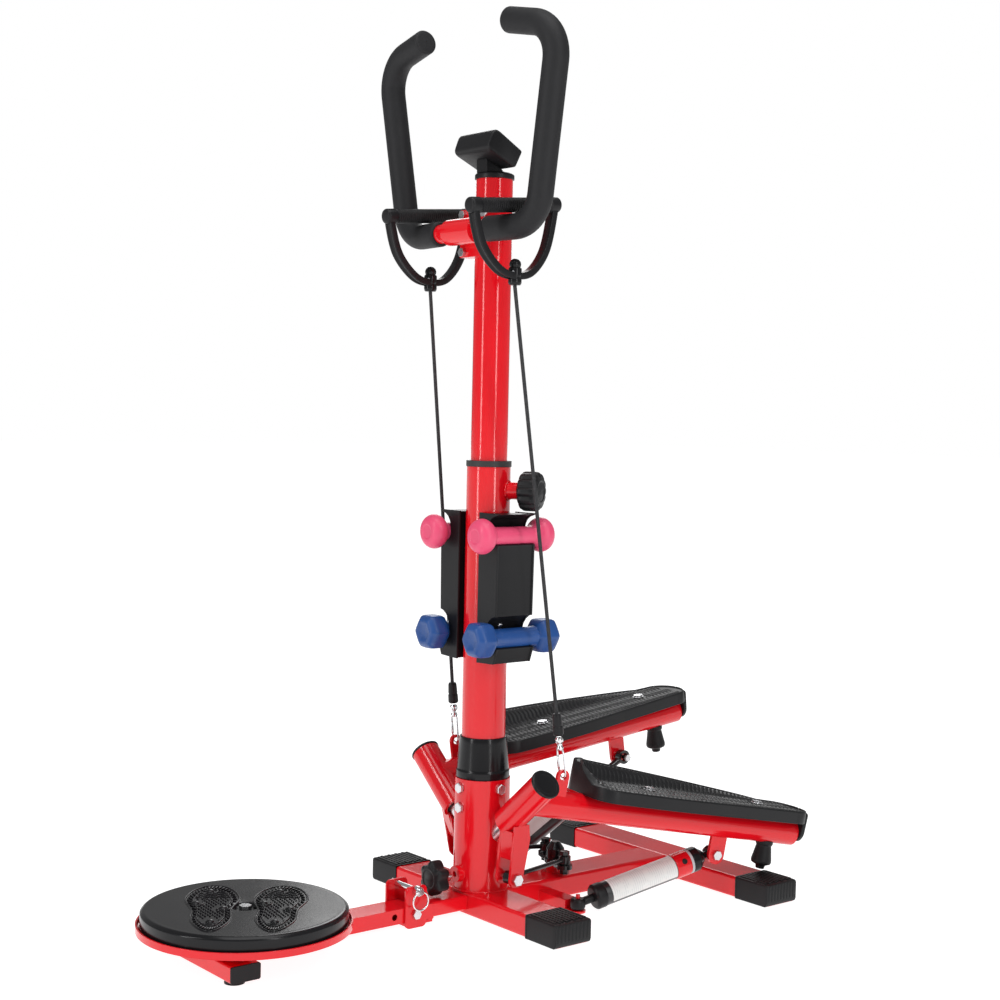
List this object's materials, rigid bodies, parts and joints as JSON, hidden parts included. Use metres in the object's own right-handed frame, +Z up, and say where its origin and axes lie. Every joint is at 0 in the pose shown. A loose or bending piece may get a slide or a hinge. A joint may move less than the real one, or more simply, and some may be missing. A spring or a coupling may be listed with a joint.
{
  "type": "twist stepper with pull cords",
  "caption": "Twist stepper: coupled pedals on inclined hubs with hydraulic cylinders, telescopic post with handlebar, elastic pull handles, dumbbell racks and a fold-up twist disc.",
  "frame": {"origin": "middle of the footprint at floor level, where the machine stands", "axes": "+Z up along the post; X across the machine, +X is the side of the pedal that is down; the user stands facing -Y"},
  "size_m": [0.466, 0.9494, 1.2046],
  "materials": {
    "red_paint": "glossy red powder coat",
    "bright_steel": "zinc plated",
    "nylon": "black nylon",
    "black_rubber": "matte moulded rubber",
    "black_moulding": "moulded black plastic, satin",
    "foam": "closed-cell foam, matte",
    "circuit_board": "solder resist",
    "black_paint": "satin black enamel",
    "pink_vinyl": "dipped vinyl, soft sheen",
    "blue_vinyl": "dipped vinyl, soft sheen",
    "elastic_cord": "latex tube in a woven sleeve"
  },
  "bodies": {
    "frame": {"front_cross_tube": "red_paint", "rear_cross_tube": "red_paint", "spine_tube": "red_paint", "end_caps": "black_rubber", "post_socket": "red_paint", "hub_shafts": "bright_steel", "hub_bushes": "nylon", "lower_post": "red_paint", "post_boot": "black_moulding", "post_bushing": "nylon", "frame_bolts": "bright_steel", "rack_right": "black_moulding", "rack_left": "black_moulding", "twister_stub": "red_paint", "stub_foot": "black_rubber", "cord_right": "elastic_cord", "cord_left": "elastic_cord"},
    "upper_post": {"upper_post": "red_paint", "handlebar": "red_paint", "foam_grips": "foam", "handlebar_clamp": "red_paint", "clamp_bolts": "bright_steel", "pull_handles": "black_moulding", "console_housing": "black_moulding", "console_face": "black_moulding", "console_board": "circuit_board", "console_mount": "black_moulding"},
    "console_button": {"console_button": "black_moulding"},
    "post_knob": {"post_knob": "black_moulding"},
    "socket_knob": {"socket_knob": "black_moulding"},
    "pull_pin": {"pull_pin": "bright_steel"},
    "twist_board": {"twister_arm": "red_paint", "twister_feet": "black_rubber", "twist_tray": "red_paint", "disc_bearing": "bright_steel", "disc_bolt": "bright_steel"},
    "twist_disc": {"twist_disc": "black_moulding"},
    "pedal_right": {"pedal_arm_right": "red_paint", "pedal_right": "black_moulding", "bumper_right": "black_rubber", "hub_cap_right": "black_moulding", "pedal_bolts_right": "bright_steel", "snap_hook_right": "bright_steel"},
    "pedal_left": {"pedal_arm_left": "red_paint", "pedal_left": "black_moulding", "bumper_left": "black_rubber", "hub_cap_left": "black_moulding", "pedal_bolts_left": "bright_steel", "snap_hook_left": "bright_steel"},
    "rocker": {"rocker": "black_paint"},
    "tie_rod_right": {"tie_rod_right": "black_paint"},
    "tie_rod_left": {"tie_rod_left": "black_paint"},
    "cylinder_right": {"cylinder_right": "black_paint"},
    "cylinder_left": {"cylinder_left": "black_paint"},
    "cylinder_rod_right": {"cylinder_rod_right": "bright_steel"},
    "cylinder_rod_left": {"cylinder_rod_left": "bright_steel"},
    "small_dumbbell_right": {"small_dumbbell_right": "pink_vinyl"},
    "small_dumbbell_left": {"small_dumbbell_left": "pink_vinyl"},
    "large_dumbbell_right": {"large_dumbbell_right": "blue_vinyl"},
    "large_dumbbell_left": {"large_dumbbell_left": "blue_vinyl"}
  },
  "joints": [
    {"name": "post_slide", "type": "slide", "parent": "frame", "child": "upper_post", "axis": [0, 0, 1], "range_m": [-0.2, 0], "deforming": ["cord_right", "cord_left"]},
    {"name": "button_press", "type": "slide", "parent": "upper_post", "child": "console_button", "axis": [0, -0.4911, -0.8711], "range_m": [0, 0.0015], "stiffness_N_per_m": 400},
    {"name": "post_knob_turn", "type": "hinge", "parent": "frame", "child": "post_knob", "pos_m": [0.0433, 0.0565, 0.578], "axis": [0.866, 0.5, 0], "range_deg": [0, 180]},
    {"name": "socket_knob_turn", "type": "hinge", "parent": "frame", "child": "socket_knob", "pos_m": [0, -0.0365, 0.054], "axis": [0, -1, 0], "range_deg": [0, 180]},
    {"name": "pull_pin_slide", "type": "slide", "parent": "frame", "child": "pull_pin", "axis": [1, 0, 0], "range_m": [0, 0.06]},
    {"name": "twist_board_fold", "type": "hinge", "parent": "frame", "child": "twist_board", "pos_m": [0, -0.095, 0.018], "axis": [-1, 0, 0], "range_deg": [0, 60]},
    {"name": "twist_disc_spin", "type": "hinge", "parent": "twist_board", "child": "twist_disc", "pos_m": [0, -0.341, 0.05], "axis": [0, 0, 1], "continuous": true},
    {"name": "pedal_right_hinge", "type": "hinge", "parent": "frame", "child": "pedal_right", "pos_m": [0.1347, 0.0315, 0.1975], "axis": [0.7627, 0, 0.6468], "range_deg": [0, 24]},
    {"name": "pedal_left_hinge", "type": "hinge", "parent": "frame", "child": "pedal_left", "pos_m": [-0.1347, 0.0315, 0.1975], "axis": [0.7627, 0, -0.6468], "range_deg": [-24.2, 0.2]},
    {"name": "rocker_turn", "type": "hinge", "parent": "frame", "child": "rocker", "pos_m": [0, 0.167, 0.044], "axis": [0, 0, 1], "range_deg": [-0.3, 41.2]},
    {"name": "tie_rod_right_pivot", "type": "hinge", "parent": "rocker", "child": "tie_rod_right", "pos_m": [0.03608, 0.15358, 0.057], "axis": [0, 0, 1], "range_deg": [-41.65, 0.3]},
    {"name": "tie_rod_left_pivot", "type": "hinge", "parent": "rocker", "child": "tie_rod_left", "pos_m": [-0.03608, 0.18042, 0.057], "axis": [0, 0, 1], "range_deg": [-41.65, 0.3]},
    {"name": "cylinder_right_tilt", "type": "hinge", "parent": "frame", "child": "cylinder_right", "pos_m": [0.1, 0.123, 0.0145], "axis": [0.6985, -0.3046, 0.6476], "range_deg": [-0.3, 28.73]},
    {"name": "cylinder_left_tilt", "type": "hinge", "parent": "frame", "child": "cylinder_left", "pos_m": [-0.1, 0.123, 0.0145], "axis": [-0.6985, -0.3046, 0.6476], "range_deg": [-0.3, 28.73]},
    {"name": "cylinder_right_stroke", "type": "slide", "parent": "cylinder_right", "child": "cylinder_rod_right", "axis": [0.2074, 0.9522, 0.2242], "range_m": [-0.0005, 0.05605]},
    {"name": "cylinder_left_stroke", "type": "slide", "parent": "cylinder_left", "child": "cylinder_rod_left", "axis": [0.1436, 0.8268, 0.5439], "range_m": [-0.05605, 0.0005]},
    {"name": "small_dumbbell_right_lift", "type": "slide", "parent": "frame", "child": "small_dumbbell_right", "axis": [0.9659, 0, 0.2588], "range_m": [0, 0.025]},
    {"name": "small_dumbbell_left_lift", "type": "slide", "parent": "frame", "child": "small_dumbbell_left", "axis": [-0.9659, 0, 0.2588], "range_m": [0, 0.025]},
    {"name": "large_dumbbell_right_lift", "type": "slide", "parent": "frame", "child": "large_dumbbell_right", "axis": [0.9659, 0, 0.2588], "range_m": [0, 0.025]},
    {"name": "large_dumbbell_left_lift", "type": "slide", "parent": "frame", "child": "large_dumbbell_left", "axis": [-0.9659, 0, 0.2588], "range_m": [0, 0.025]}
  ],
  "couplings": [
    {"joint": "pedal_left_hinge", "follows": "pedal_right_hinge", "ratio": -1},
    {"joint": "rocker_turn", "follows": "pedal_right_hinge", "ratio": 1.7},
    {"joint": "tie_rod_right_pivot", "follows": "pedal_right_hinge", "ratio": -1.7229},
    {"joint": "tie_rod_left_pivot", "follows": "pedal_right_hinge", "ratio": -1.7229},
    {"joint": "cylinder_right_tilt", "follows": "pedal_right_hinge", "ratio": 1.1845},
    {"joint": "cylinder_left_tilt", "follows": "pedal_right_hinge", "ratio": 1.1845},
    {"joint": "cylinder_right_stroke", "follows": "pedal_right_hinge", "m_per_rad": 0.13263},
    {"joint": "cylinder_left_stroke", "follows": "pedal_right_hinge", "m_per_rad": -0.13263}
  ]
}
